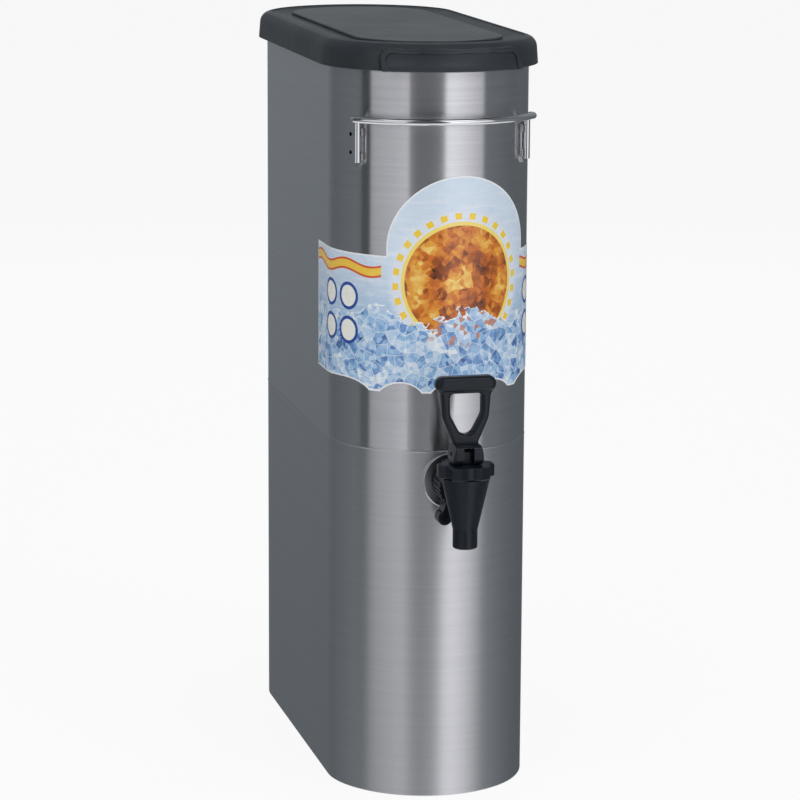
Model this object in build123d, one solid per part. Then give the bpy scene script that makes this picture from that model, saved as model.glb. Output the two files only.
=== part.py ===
from build123d import *

import os
from math import asin, atan2, cos, degrees, pi, radians, sin, sqrt, tan

# Iced tea dispenser: a narrow stainless tank on a hollow base, with a tap, a wire carrying handle and a lid.
# Millimetres. X runs across the tank, -Y is the tap side, +Z is up from the counter.
# Everything is drawn about the middle of the tank, then moved so that the origin is at the
# bottom centre of the whole envelope.

# Clearances
weld_gap = 0.05         # between pieces that are welded, threaded or pressed together
running_gap = 0.05      # radial, between a pin or rod and its bore
seat_gap = 0.3          # between pieces that rest on each other but come apart
past = 1.0              # how far a cutting shape runs past what it cuts

# Tank plan: flat sides, round nose front and rear, eased into the sides by a corner arc
body_width = 148.0
side_length = 212.2
corner_inset = 14.0     # from the middle of the tank to the centre of each corner arc
nose_excess = 0.6       # how much larger the nose's radius is than half the width
sheet = 0.9

# Tank and base
seam_height = 260.0     # from the counter to the seam between them
wall_height = 290.0     # from the seam to the rim
rim_bead_width = 3.1
rim_bead_height = 4.0
rim_bead_round = 1.5
hem_width = 9.0
hem_land = 0.1          # left flat between the two faces of the hem

# Drawn floor of the tank, which falls towards the tap
pan_sheet = 0.9
pan_lap = 15.0          # how far its upright edge reaches above the seam
pan_front_depth = 34.0  # under the seam
pan_rear_depth = 22.0
pan_round = 8.0

# Outlet through the front of the tank
outlet_drop = 21.0      # from the seam down to the outlet's axis
flange_radius = 20.4
flange_proud = 3.3
flange_round = 1.0
shank_radius = 11.0
shank_bore_radius = 7.5
shank_proud = 18.3
shank_inside = 4.0

# Tap, on its own upright axis in front of the tank
tap_reach = 45.0
washer_thickness = 2.0
tail_radius = 8.9
tail_bore_radius = 5.5
ring_thickness = 1.4
ring_depth = 0.9        # of its groove in the tail
ring_play = 0.4         # between the ring and the thread that it passes
ring_setback = 2.0
spout_radius = 8.9
spout_bore_radius = 6.3
spout_round = 1.6
spout_drop = 39.5       # from the outlet's axis to the mouth of the spout
spout_length = 13.7
cone_blend = 8.0
cone_radius = 17.6
cone_rise = 12.3        # from the outlet's axis to the shoulder under the bonnet
cone_wall = 2.6
seat_drop = 15.0        # from the outlet's axis to the valve seat
neck_radius = 15.2
neck_rise = 6.2
neck_wall = 2.2

# Wing nut that draws the tap onto the shank
nut_radius = 13.4
nut_back = 6.3          # from the tank's nose to its rear face
nut_lip = 1.8
nut_ribs = 24
nut_rib_radius = 0.8
wing_span = 30.0
wing_thickness = 6.6
wing_width = 12.0
wing_tip_radius = 5.2
wing_round = 1.0
wing_tilt = -20.0       # from upright; the lower wing leans to the left, seen from the front
wing_pocket_radius = 2.0
wing_pocket_length = 7.0    # between the centres of its two ends
wing_pocket_depth = 1.2

# Bonnet, the lobed cap of the tap
bonnet_radius = 20.4
bonnet_plate = 2.6
bonnet_lobes = 6
bonnet_flute_radius = 9.0
bonnet_flute_wall = 2.2     # left between a flute and the neck
bonnet_round = 1.6

# Valve: stem, spring and silicone seat cup
stem_radius = 2.4
stem_foot_play = 0.4    # between the stem's foot and the cup
stem_foot_thickness = 1.9
eye_radius = 3.4
eye_width = 6.4
eye_gap = 0.6           # from the bonnet to the underside of the eye
cup_play = 0.7          # between the cup's foot and the chamber
cup_wall = 1.1
cup_bore_radius = 6.4
cup_lip = 0.9
cup_base = 6.0
cup_socket = 3.1
spring_radius = 5.0
spring_wire_radius = 0.55
spring_pitch = 4.0

# Lever
cam_height = 7.0        # from the bonnet to the pin's axis
cam_reach = 5.5         # half the flat length of the cam
cam_gap = 0.15
cam_round = 4.5         # of its corners
hub_width = 22.0
hub_round = 1.8
hub_shoulder = 1.0      # under the pin's axis, where the hub starts to narrow upward
slot_play = 0.6         # on each side of the stem's eye
slot_headroom = 5.5
pin_radius = 1.75
pin_inset = 1.5         # from each face of the hub
lever_rise = 55.5       # from the pin's axis to the top of the grip
lever_setback = 3.5     # from the pin's axis back to the middle of the arms
grip_width = 44.2
grip_height = 11.4
grip_depth = 12.0
grip_flat = 0.2         # half the flat left on each end of the grip
grip_round = 4.2
arm_depth = 8.5
arm_round = 2.2
neck_half_width = 9.3
waist_rise = 7.9        # from the pin's axis to where the arms start to spread
waist_round = 9.0
arm_bend_rise = 25.6    # to where they turn upright
arm_bend_half_width = 16.9
arm_bend_round = 15.0
arm_top_half_width = 18.3
arm_flare = 2.0         # how far they widen into the grip
arm_flare_height = 3.0
arm_flare_round = 2.6
window_foot = 13.8      # from the pin's axis
window_foot_radius = 6.4
window_side_rise = 30.8     # to where its sides start to draw in
window_side_radius = 10.0
window_headroom = 1.0   # from the window up to the grip
window_half_width = 11.6
window_corner = 3.0

# Wire carrying handle with its two welded plates
wire_radius = 2.4
loop_drop = 50.5        # from the rim to the loop
loop_clearance = 10.0   # from the tank to the middle of the wire
leg_angle = 53.0        # from straight ahead, round the nose
leg_length = 31.5
bend_straight = 0.2     # left between the two bends of each leg
loop_start = 4.5        # degrees short of the leg where the bent wire joins the round loop
plate_thickness = 1.6
plate_width = 15.0
plate_length = 34.0
plate_drop = 1.5        # from the loop to the top of the plates
plate_setback = 4.6     # from the middle of the wire's leg back to the plate's, round the tank
dimple_radius = 1.3
dimple_depth = 0.6
dimple_spacing = 13.0
dimple_offset = 3.6     # from the middle of the plate, further back

# Lid
lid_roof = 4.2          # over the rim
lid_height = 19.8       # from the skirt's foot to the crest
lid_overhang = 6.5
lid_draft = 1.5         # how far the skirt leans in from its foot to the crest
lid_shoulder = 8.5
lid_wall = 3.3
lid_crest_inset = 3.5
crest_step = 0.7        # from the crest down to the slope inside it
moat_depth = 2.7        # under the crest
moat_inset = 17.5
panel_inset = 19.5
panel_drop = 0.5        # from the crest down to the panel
panel_round = 1.2
lid_web = 3.0           # thickness under the moat
channel_inset = 6.0
channel_round = 3.0
lip_half_width = 51.0
lip_step = 3.5          # from the crest down to the lip
lip_foot_rise = 0.6     # from the foot of the skirt up to the foot of the lip
lip_top_proud = 2.2     # of the skirt's foot
lip_middle_proud = 4.6
lip_bottom_proud = 10.6
lip_corner = 8.0
lip_border = 3.0
scoop_depth = 1.0

# Printed panel wrapped round the front
decal_skin = 0.3
decal_wrap = 31.0       # how far it runs back along each flat side
decal_rise = 43.0       # from the seam to the foot of the band
decal_height = 99.0
dome_radius = 52.0
dome_rise = 6.0         # from the band's top to the dome's centre
dome_shift = 8.0
scallop_radius = 17.0
scallop_depth = 7.0

match = 0.02            # how closely a point has to lie on an outline to count as on it

# Worked out from the sizes above
half_width = body_width / 2
half_side = side_length / 2
rim_height = seam_height + wall_height
corner_radius = half_width - corner_inset
nose_radius = half_width + nose_excess
nose_y = half_side - sqrt((nose_radius - corner_radius) ** 2 - corner_inset ** 2)
nose_turn = atan2(corner_inset, half_side - nose_y)
nose_front = nose_y + nose_radius
pan_front_height = seam_height - pan_front_depth
pan_rear_height = seam_height - pan_rear_depth
outlet_height = seam_height - outlet_drop
shank_end = nose_front + shank_proud
tail_end = shank_end + washer_thickness
ring_start = tail_end + ring_setback
nut_start = nose_front + nut_back
nut_end = ring_start + ring_thickness + weld_gap + nut_lip
tap_distance = nose_front + tap_reach
spout_mouth = outlet_height - spout_drop
seat_height = outlet_height - seat_drop
shoulder_height = outlet_height + cone_rise
cone_foot = spout_mouth + spout_length
cone_slope = (cone_radius - spout_radius) / (shoulder_height - cone_foot)
chamber_foot = spout_radius + cone_slope * (seat_height - cone_foot) - cone_wall
neck_top = shoulder_height + neck_rise
cup_top = neck_top + weld_gap + cup_lip
bonnet_bottom = shoulder_height + seat_gap
bonnet_top = cup_top + weld_gap + bonnet_plate
foot_bottom = seat_height + weld_gap + cup_base + weld_gap
pin_height = bonnet_top + cam_gap + cam_height
loop_height = rim_height - loop_drop
plate_face = weld_gap + plate_thickness     # proud of the tank
leg_proud = plate_face + weld_gap + wire_radius
bend_room = (nose_radius + loop_clearance) / cos(radians(loop_start)) - nose_radius - leg_proud
wire_bend = (bend_room - bend_straight) / (1 + tan(radians(90 - loop_start) / 2))
plate_high = loop_height - plate_drop
plate_low = plate_high - plate_length
lid_crest = rim_height + seat_gap + lid_roof
lid_bottom = lid_crest - lid_height
lid_inside = lid_overhang - lid_wall
moat_floor = lid_crest - moat_depth
panel_top = lid_crest - panel_drop
lip_top = lid_crest - lip_step
lip_bottom = lid_bottom + lip_foot_rise
lip_middle = (lip_top + lip_bottom) / 2
lip_top_reach = lid_overhang + lip_top_proud
lip_middle_reach = lid_overhang + lip_middle_proud
lip_bottom_reach = lid_overhang + lip_bottom_proud
decal_bottom = seam_height + decal_rise
decal_top = decal_bottom + decal_height
dome_height = decal_top + dome_rise


def outline(grow=0.0):
    """The tank's plan as a face on the counter, grown outward by the given amount."""
    side = half_width + grow
    corner = corner_radius + grow
    nose = nose_radius + grow
    mid_turn = (nose_turn + pi / 2) / 2
    edges = [Line((x, -half_side), (x, half_side)) for x in (side, -side)]
    for end in (-1, 1):
        apex = (0, end * (nose_y + nose))
        meet_x = nose * sin(nose_turn)
        meet_y = end * (nose_y + nose * cos(nose_turn))
        middle_x = corner_inset + corner * sin(mid_turn)
        middle_y = end * (half_side + corner * cos(mid_turn))
        edges.append(ThreePointArc((-meet_x, meet_y), apex, (meet_x, meet_y)))
        for x in (-1, 1):
            middle = (x * middle_x, middle_y)
            edges.append(ThreePointArc((x * side, end * half_side), middle, (x * meet_x, meet_y)))
    return make_face(edges)


def prism(grow, low, high):
    return Pos(0, 0, low) * extrude(outline(grow), high - low, dir=(0, 0, 1))


def frustum(low_grow, high_grow, low, high):
    """Solid whose plan eases from one size at its foot to another at its top."""
    taper = degrees(atan2(low_grow - high_grow, high - low))
    return Pos(0, 0, low) * extrude(outline(low_grow), high - low, taper=taper)


def ring(outer, inner, low, high):
    return Pos(0, 0, low) * extrude(outline(outer) - outline(inner), high - low, dir=(0, 0, 1))


def lathe(points, arc=360.0):
    """Turns a closed outline of (radius, height) points about the Z axis."""
    return revolve(Plane.XZ * make_face(Polyline(*points, close=True)), Axis.Z, arc)


def tube(outer, inner, low, high):
    return lathe([(inner, low), (outer, low), (outer, high), (inner, high)])


def rod(radius, low, high):
    return Pos(0, 0, low) * Cylinder(radius, high - low, align=(Align.CENTER, Align.CENTER, Align.MIN))


def ahead(shape):
    """Turns a piece drawn along +Z so that it points forward along the outlet's axis."""
    return Pos(0, 0, outlet_height) * Rot(X=90) * shape


def at_tap(shape):
    return Pos(0, -tap_distance, 0) * shape


def on_the_nose(angle, proud, height):
    """A point round the nose, at an angle from straight ahead."""
    reach = nose_radius + proud
    return Vector(reach * sin(radians(angle)), -nose_y - reach * cos(radians(angle)), height)


def on_outline(point, grow):
    """Whether a point lies on the wall that the tank's plan makes when it is grown by this amount."""
    x = abs(point.X)
    y = abs(point.Y)
    if y <= half_side:
        miss = x - half_width
    elif atan2(x, y - nose_y) > nose_turn:
        miss = sqrt((x - corner_inset) ** 2 + (y - half_side) ** 2) - corner_radius
    else:
        miss = sqrt(x ** 2 + (y - nose_y) ** 2) - nose_radius
    return abs(miss - grow) < match


def level_edges(shape, height):
    return [e for e in shape.edges() if all(abs((e @ t).Z - height) < match for t in (0, 0.5, 1))]


def outline_edges(shape, grow, height):
    """The edges of a shape that follow the tank's plan, grown by this amount, at one height."""
    return [e for e in level_edges(shape, height) if on_outline(e @ 0.5, grow)]


def make_tank_wall():
    wall = ring(0, -sheet, seam_height, rim_height - rim_bead_height / 2)
    proud = rim_bead_width - sheet
    bead = ring(proud, -sheet, rim_height - rim_bead_height, rim_height)
    for height in (rim_height, rim_height - rim_bead_height):
        bead = fillet(outline_edges(bead, proud, height), rim_bead_round)
    return wall + bead


def outlet_hole():
    return ahead(rod(shank_radius + weld_gap, half_side, nose_front * 2))


def make_base_skirt():
    skirt = ring(0, -sheet, 0, seam_height) + ring(-sheet / 2, -hem_width, 0, sheet)
    skirt = fillet(outline_edges(skirt, 0, 0), sheet - hem_land)
    return skirt - outlet_hole()


def pan_blank(inset, lift, corner):
    """Solid that fills the pan to its brim, with its floor falling forward."""
    blank = prism(-inset, pan_front_height - sheet, seam_height + pan_lap)
    slope = atan2(pan_rear_height - pan_front_height, 2 * nose_front)
    middle = (pan_front_height + pan_rear_height) / 2 + lift
    floor = Plane(origin=(0, 0, middle), z_dir=(0, -sin(slope), cos(slope)))
    blank = split(blank, bisect_by=floor, keep=Keep.TOP)
    return fillet(blank.faces().sort_by(Axis.Z)[0].edges(), corner)


def make_tank_floor():
    inset = sheet + weld_gap
    outside = pan_blank(inset, 0, pan_round + pan_sheet)
    return outside - pan_blank(inset + pan_sheet, pan_sheet, pan_round) - outlet_hole()


def make_outlet_flange():
    disc = rod(flange_radius, nose_y, nose_front + flange_proud)
    disc = fillet(disc.edges().sort_by(Axis.Z)[-1], flange_round)
    disc = ahead(disc - rod(shank_radius + weld_gap, 0, nose_front * 2))
    return disc - prism(weld_gap, 0, seam_height * 2)


def make_outlet_shank():
    inner_end = nose_front - sheet - pan_sheet - shank_inside
    return ahead(tube(shank_radius, shank_bore_radius, inner_end, shank_end))


def make_shank_washer():
    return ahead(tube(shank_radius, shank_bore_radius, shank_end + weld_gap, tail_end - weld_gap))


def make_retaining_ring():
    inner = tail_radius - ring_depth + weld_gap
    return ahead(tube(shank_radius - ring_play, inner, ring_start + weld_gap, ring_start + ring_thickness))


def make_wing_nut():
    nut = rod(nut_radius, nut_start, nut_end)
    wing_start = (nut_start + nut_end - wing_width) / 2
    blade = Rectangle(wing_thickness, wing_span - 2 * wing_tip_radius)
    for turn in (0, 180):
        tip = Pos(0, wing_span - wing_tip_radius, wing_start) * extrude(Circle(wing_tip_radius), wing_width)
        wing = tip + Pos(0, wing_span / 2, wing_start) * extrude(blade, wing_width)
        wing = fillet(wing.edges().filter_by(GeomType.CIRCLE), wing_round)
        pocket_middle = wing_span - wing_tip_radius - wing_pocket_length / 2
        pocket = SlotCenterToCenter(wing_pocket_length, 2 * wing_pocket_radius, rotation=90)
        pocket_floor = wing_start + wing_width - wing_pocket_depth
        wing -= Pos(0, pocket_middle, pocket_floor) * extrude(pocket, wing_pocket_depth + past)
        nut += Rot(Z=turn + wing_tilt) * wing
    for rib in range(nut_ribs):
        nut += Rot(Z=360 * rib / nut_ribs) * Pos(nut_radius, 0) * rod(nut_rib_radius, nut_start, nut_end)
    nut -= rod(shank_radius + weld_gap, nut_start - past, nut_end - nut_lip)
    return ahead(nut - rod(tail_radius + running_gap, nut_start, nut_end + past))


def chamber():
    """Space inside the tap, from the neck down to the mouth of the spout."""
    top = neck_radius - neck_wall
    cone_end = seat_height + (top - chamber_foot) / cone_slope
    return lathe([(0, spout_mouth - past), (spout_bore_radius, spout_mouth - past),
                  (spout_bore_radius, seat_height), (chamber_foot, seat_height), (top, cone_end),
                  (top, neck_top + past), (0, neck_top + past)])


def make_tap_body():
    shell = lathe([(0, spout_mouth), (spout_radius, spout_mouth), (spout_radius, cone_foot),
                   (cone_radius, shoulder_height), (neck_radius, shoulder_height), (neck_radius, neck_top),
                   (0, neck_top)])
    shell = fillet(level_edges(shell, cone_foot), cone_blend)
    shell = fillet(level_edges(shell, spout_mouth), spout_round)
    tail = ahead(rod(tail_radius, tail_end, tap_distance))
    groove_end = ring_start + ring_thickness + weld_gap
    groove = tube(tail_radius + past, tail_radius - ring_depth, ring_start, groove_end)
    bore = ahead(rod(tail_bore_radius, tail_end - past, tap_distance))
    return at_tap(shell - chamber()) + (tail - ahead(groove) - at_tap(chamber())) - bore


def make_bonnet():
    cap = rod(bonnet_radius, bonnet_bottom, bonnet_top)
    flute_centre = neck_radius + bonnet_flute_wall + bonnet_flute_radius
    for lobe in range(bonnet_lobes):
        flute = rod(bonnet_flute_radius, bonnet_bottom - past, bonnet_top + past)
        cap -= Rot(Z=360 * lobe / bonnet_lobes) * Pos(0, -flute_centre) * flute
    cap = fillet(level_edges(cap, bonnet_top) + level_edges(cap, bonnet_bottom), bonnet_round)
    cap -= rod(neck_radius + weld_gap, bonnet_bottom - past, bonnet_top - bonnet_plate)
    return at_tap(cap - rod(stem_radius + running_gap, bonnet_bottom, bonnet_top + past))


def make_seat_cup():
    low = seat_height + weld_gap
    high = cup_top - weld_gap
    foot = chamber_foot - cup_play
    bellows = cup_bore_radius + cup_wall
    return at_tap(lathe([
        (0, low), (foot, low), (foot, low + cup_base / 3), (bellows, low + cup_base),
        (bellows, neck_top + weld_gap), (neck_radius - weld_gap, neck_top + weld_gap),
        (neck_radius - weld_gap, high), (cup_bore_radius, high), (cup_bore_radius, low + cup_base),
        (stem_radius + weld_gap, low + cup_base), (stem_radius + weld_gap, low + cup_base - cup_socket),
        (0, low + cup_base - cup_socket)]))


def make_valve_stem():
    foot = rod(cup_bore_radius - stem_foot_play, foot_bottom, foot_bottom + stem_foot_thickness)
    shaft = rod(stem_radius, foot_bottom - cup_socket + weld_gap * 2, pin_height)
    eye_low = bonnet_top + eye_gap
    eye = Pos(0, 0, (eye_low + pin_height) / 2) * Box(eye_width, 2 * eye_radius, pin_height - eye_low)
    knuckle = Pos(0, 0, pin_height) * Rot(Y=90) * Cylinder(eye_radius, eye_width)
    bore = Pos(0, 0, pin_height) * Rot(Y=90) * Cylinder(pin_radius + running_gap, eye_width + past)
    return at_tap(shaft + foot + eye + knuckle - bore)


def make_return_spring():
    low = foot_bottom + stem_foot_thickness + weld_gap + spring_wire_radius
    high = cup_top - weld_gap - spring_wire_radius
    path = Pos(0, 0, low) * Helix(spring_pitch, high - low, spring_radius)
    section = Plane(origin=path @ 0, z_dir=path % 0) * Circle(spring_wire_radius)
    return at_tap(sweep(section, path=path, is_frenet=True))


def make_handle_pin():
    return at_tap(Pos(0, 0, pin_height) * Rot(Y=90) * Cylinder(pin_radius, hub_width - 2 * pin_inset))


def lever_frame():
    """Arms of the lever with their window, drawn from the front about the pin."""
    grip_low = lever_rise - grip_height
    grip_middle = lever_rise - grip_height / 2
    grip_foot = grip_low + arm_flare_height / 2
    end_half_width = arm_top_half_width + arm_flare
    corners = [(neck_half_width, 0), (neck_half_width, waist_rise), (arm_bend_half_width, arm_bend_rise),
               (arm_top_half_width, grip_foot - arm_flare_height), (end_half_width, grip_foot)]
    rounds = [waist_round, arm_bend_round, arm_flare_round]
    edges = [Line((-neck_half_width, 0), (neck_half_width, 0)),
             Line((-end_half_width, grip_middle), (end_half_width, grip_middle))]
    for side in (-1, 1):
        edges += FilletPolyline(*[(side * x, rise) for x, rise in corners], radius=rounds).edges()
        edges.append(Line((side * end_half_width, grip_foot), (side * end_half_width, grip_middle)))
    foot = Pos(0, window_foot + window_foot_radius) * Circle(window_foot_radius)
    rounds = [foot]
    top = grip_low - window_headroom - window_corner
    for side in (-1, 1):
        rounds.append(Pos(side * (window_half_width - window_corner), top) * Circle(window_corner))
        middle = side * (window_half_width - window_side_radius)
        rounds.append(Pos(middle, window_side_rise) * Circle(window_side_radius))
    return make_face(edges) - make_hull([e for circle in rounds for e in circle.edges()])


def lever_hub():
    """The cam block round the pin: flat underneath, rounded before and behind, narrower on top."""
    profile = RectangleRounded(2 * cam_height, 2 * (cam_reach + cam_round), cam_round)
    cam = extrude(profile, hub_width / 2, both=True)
    cam = fillet(cam.faces().filter_by(Axis.Z).edges(), hub_round)
    half = hub_width / 2
    front = [(-half, -cam_height), (half, -cam_height), (half, -hub_shoulder), (neck_half_width, cam_height),
             (-neck_half_width, cam_height), (-half, -hub_shoulder)]
    sides = extrude(make_face(Polyline(*front, close=True)), cam_reach + cam_round + past, both=True)
    return (Rot(Y=90) * cam) & (Plane.XZ * sides)


def make_lever_handle():
    frame = extrude(lever_frame(), arm_depth / 2, both=True)
    frame = fillet(frame.faces().filter_by(Axis.Z).edges(), arm_round)
    bar = RectangleRounded(grip_width, grip_height, grip_height / 2 - grip_flat)
    grip = extrude(bar, grip_depth / 2, both=True)
    grip = fillet(grip.faces().filter_by(Axis.Z).edges(), grip_round)
    upright = Plane.XZ * (frame + Pos(0, lever_rise - grip_height / 2) * grip)
    slot_low = -cam_height - past
    slot = Box(eye_width + 2 * slot_play, 4 * (cam_reach + cam_height), slot_headroom - slot_low)
    slot = Pos(0, 0, (slot_low + slot_headroom) / 2) * slot
    bore = Rot(Y=90) * Cylinder(pin_radius, hub_width + past)
    lever = Pos(0, lever_setback, 0) * upright + lever_hub() - slot - bore
    return Pos(0, -tap_distance, pin_height) * lever


def make_carry_handle():
    foot = on_the_nose(leg_angle, leg_proud, loop_height - leg_length)
    bend = on_the_nose(leg_angle, leg_proud, loop_height)
    start = on_the_nose(leg_angle - loop_start, loop_clearance, loop_height)
    elbow = on_the_nose(leg_angle, leg_proud + bend_room, loop_height)
    right = FilletPolyline(foot, bend, elbow, start, radius=wire_bend)
    left = FilletPolyline(*[Vector(-p.X, p.Y, p.Z) for p in (start, elbow, bend, foot)], radius=wire_bend)
    apex = on_the_nose(0, loop_clearance, loop_height)
    nose = ThreePointArc(start, apex, Vector(-start.X, start.Y, start.Z))
    path = Wire([*right.edges(), *nose.edges(), *left.edges()])
    section = Plane(origin=foot, z_dir=(0, 0, 1)) * Circle(wire_radius)
    return sweep(section, path=path)


def make_handle_plate(side):
    """One of the two plates that the wire's legs are welded to; side is 1 on the right and -1 on the left."""
    face = nose_radius + plate_face
    shell = tube(face, nose_radius + weld_gap, plate_low, plate_high)
    blank = extrude(SlotOverall(plate_length, plate_width, rotation=90), nose_radius * 2)
    middle = (plate_low + plate_high) / 2
    plate = shell & (Plane(origin=(0, 0, middle), x_dir=(1, 0, 0), z_dir=(0, -1, 0)) * blank)
    turn = side * degrees(dimple_offset / nose_radius)
    for height in (middle - dimple_spacing / 2, middle + dimple_spacing / 2):
        dimple = Pos(0, -face, height) * Rot(X=90) * Cylinder(dimple_radius, 2 * dimple_depth)
        plate -= Rot(Z=turn) * dimple
    return Pos(0, -nose_y, 0) * Rot(Z=side * (leg_angle + degrees(plate_setback / nose_radius))) * plate


def lip_outline(inset, low):
    """Front view of the pull lip, with rounded upper corners, as a solid that runs through the nose."""
    half = lip_half_width - inset
    high = lip_top - inset
    face = make_face(Polyline((-half, low), (half, low), (half, high), (-half, high), close=True))
    face = fillet(face.vertices().sort_by(Axis.Y)[-2:], lip_corner - inset)
    return Plane.XZ * extrude(face, 2 * nose_front)


def lip_profile(depth, low, high):
    """Side view of the lip's face about the nose, sunk by depth; it curves outward to its foot."""
    face = ThreePointArc((lip_top_reach - depth, lip_top), (lip_middle_reach - depth, lip_middle),
                         (lip_bottom_reach - depth, lip_bottom))
    return face, Polyline((lip_bottom_reach - depth, lip_bottom), low, high, (lip_top_reach - depth, lip_top))


def round_the_nose(profile, spread):
    """Turns a side view of (distance proud of the tank, height) round the nose, spread each way."""
    turned = revolve(Plane.XZ * Pos(nose_radius, 0) * profile, Axis.Z, 2 * spread)
    return Pos(0, -nose_y, 0) * Rot(Z=-90 - spread) * turned


def pull_lip():
    """The lip on the front of the lid, with its border and its sunk face."""
    spread = degrees(asin(lip_half_width / nose_radius))
    body = make_face(lip_profile(0, (lid_inside, lip_bottom), (lid_inside, lip_top)))
    lip = round_the_nose(body, spread) & lip_outline(0, lip_bottom - past)
    clear = 2 * lip_bottom_reach
    scoop = make_face(lip_profile(scoop_depth, (clear, lip_bottom - past), (clear, lip_top)))
    return lip - (round_the_nose(scoop, spread) & lip_outline(lip_border, lip_bottom - 2 * past))


def make_lid():
    crest_grow = lid_overhang - lid_draft
    body = frustum(lid_overhang, crest_grow, lid_bottom, lid_crest)
    body = fillet(outline_edges(body, crest_grow, lid_crest), lid_shoulder)
    slope_top = lid_crest - crest_step
    moat = frustum(-moat_inset, -lid_crest_inset, moat_floor, slope_top)
    moat += prism(-lid_crest_inset, slope_top, lid_crest + past)
    panel = prism(-panel_inset, moat_floor - lid_web, panel_top)
    panel = fillet(outline_edges(panel, -panel_inset, panel_top), panel_round)
    body = body - moat + panel + pull_lip()
    body -= prism(lid_inside, lid_bottom - past, moat_floor - lid_web)
    roof = rim_height + seat_gap
    channel = ring(lid_inside, -channel_inset, roof - channel_round - lid_web, roof)
    body -= fillet(outline_edges(channel, lid_inside, roof), channel_round)
    return body


def decal_outline():
    """Front view of the printed panel: a band with a scalloped foot and one round dome."""
    band = Pos(0, (decal_top + decal_bottom) / 2) * Rectangle(2 * body_width, decal_height)
    band += Pos(dome_shift, dome_height) * Circle(dome_radius)
    step = 2 * scallop_radius
    for bite in range(-2, 3):
        band -= Pos(bite * step, decal_bottom + scallop_depth - scallop_radius) * Circle(scallop_radius)
    return band


def make_front_decal():
    skin = ring(weld_gap + decal_skin, weld_gap, decal_bottom, dome_height + dome_radius)
    skin = skin & (Plane.XZ * extrude(decal_outline(), 2 * nose_front))
    reach = half_side - decal_wrap + nose_front
    return skin & (Pos(0, -reach, dome_height) * Box(2 * body_width, 2 * nose_front, 2 * dome_height))


makers = {
    "tank_wall": make_tank_wall,
    "base_skirt": make_base_skirt,
    "tank_floor": make_tank_floor,
    "outlet_flange": make_outlet_flange,
    "outlet_shank": make_outlet_shank,
    "shank_washer": make_shank_washer,
    "retaining_ring": make_retaining_ring,
    "wing_nut": make_wing_nut,
    "tap_body": make_tap_body,
    "bonnet": make_bonnet,
    "seat_cup": make_seat_cup,
    "valve_stem": make_valve_stem,
    "return_spring": make_return_spring,
    "handle_pin": make_handle_pin,
    "lever_handle": make_lever_handle,
    "carry_handle": make_carry_handle,
    "right_handle_plate": lambda: make_handle_plate(1),
    "left_handle_plate": lambda: make_handle_plate(-1),
    "lid": make_lid,
    "front_decal": make_front_decal,
}

parts = {name: make() for name, make in makers.items()}
boxes = [part.bounding_box() for part in parts.values()]
middle_y = (min(box.min.Y for box in boxes) + max(box.max.Y for box in boxes)) / 2
middle_x = (min(box.min.X for box in boxes) + max(box.max.X for box in boxes)) / 2
os.makedirs("parts", exist_ok=True)
for name, part in parts.items():
    export_step(Pos(-middle_x, -middle_y, 0) * part, f"parts/{name}.step")
print(f"tank middle at x {-middle_x:.3f}, y {-middle_y:.3f}")
print(f"pin at y {-tap_distance - middle_y:.3f}, z {pin_height:.3f}; cup top z {cup_top:.3f}")
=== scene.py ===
from math import asin, atan2, cos, pi, radians, sin, sqrt

import bmesh
import bpy
from mathutils import Matrix, Vector, kdtree


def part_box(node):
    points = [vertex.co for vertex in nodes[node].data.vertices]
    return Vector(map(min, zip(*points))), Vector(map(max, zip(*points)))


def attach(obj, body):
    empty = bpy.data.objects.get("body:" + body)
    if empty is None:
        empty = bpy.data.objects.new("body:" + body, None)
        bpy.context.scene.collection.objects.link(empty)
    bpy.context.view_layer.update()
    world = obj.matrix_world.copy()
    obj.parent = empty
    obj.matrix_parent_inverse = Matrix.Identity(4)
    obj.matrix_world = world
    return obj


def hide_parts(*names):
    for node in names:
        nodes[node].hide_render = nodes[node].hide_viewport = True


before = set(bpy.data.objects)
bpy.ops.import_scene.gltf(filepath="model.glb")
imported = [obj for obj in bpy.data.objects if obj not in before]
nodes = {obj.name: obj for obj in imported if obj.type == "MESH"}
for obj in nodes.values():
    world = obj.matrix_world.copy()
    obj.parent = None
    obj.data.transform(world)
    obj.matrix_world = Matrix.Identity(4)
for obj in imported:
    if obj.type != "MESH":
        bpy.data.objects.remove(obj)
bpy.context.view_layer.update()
print("frame loaded with", len(nodes), "nodes")

tankLow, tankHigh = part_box("tank_wall")
tankMiddle = (tankLow.y + tankHigh.y) / 2


# Turns a colour as it is picked on screen into the linear one that shaders take
def screenColour(red, green, blue):
    made = []
    for part in (red / 255, green / 255, blue / 255):
        made.append(part / 12.92 if part <= 0.04045 else ((part + 0.055) / 1.055) ** 2.4)
    return (*made, 1.0)


# An input that is a socket is linked, and anything else is its value
def connect(tree, node, inputs):
    for key, value in inputs.items():
        if isinstance(value, bpy.types.NodeSocket):
            tree.links.new(value, node.inputs[key])
        else:
            node.inputs[key].default_value = value


def addNode(tree, kind, settings=None, inputs=None):
    made = tree.nodes.new("ShaderNode" + kind)
    for key, value in (settings or {}).items():
        setattr(made, key, value)
    connect(tree, made, inputs or {})
    return made


def maths(tree, operation, *values, clamp=False):
    settings = {"operation": operation, "use_clamp": clamp}
    return addNode(tree, "Math", settings, dict(enumerate(values))).outputs[0]


def vectorMaths(tree, operation, *values, output="Vector"):
    return addNode(tree, "VectorMath", {"operation": operation}, dict(enumerate(values))).outputs[output]


# A start value and any number of sockets, each times its own share
def sumOf(tree, parts, start=0.0):
    total = start
    for value, share in parts:
        total = maths(tree, "MULTIPLY_ADD", value, share, total)
    return total


def mixColour(tree, factor, first, second, blend="MIX"):
    settings = {"data_type": "RGBA", "blend_type": blend}
    return addNode(tree, "Mix", settings, {0: factor, 6: first, 7: second}).outputs[2]


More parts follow.
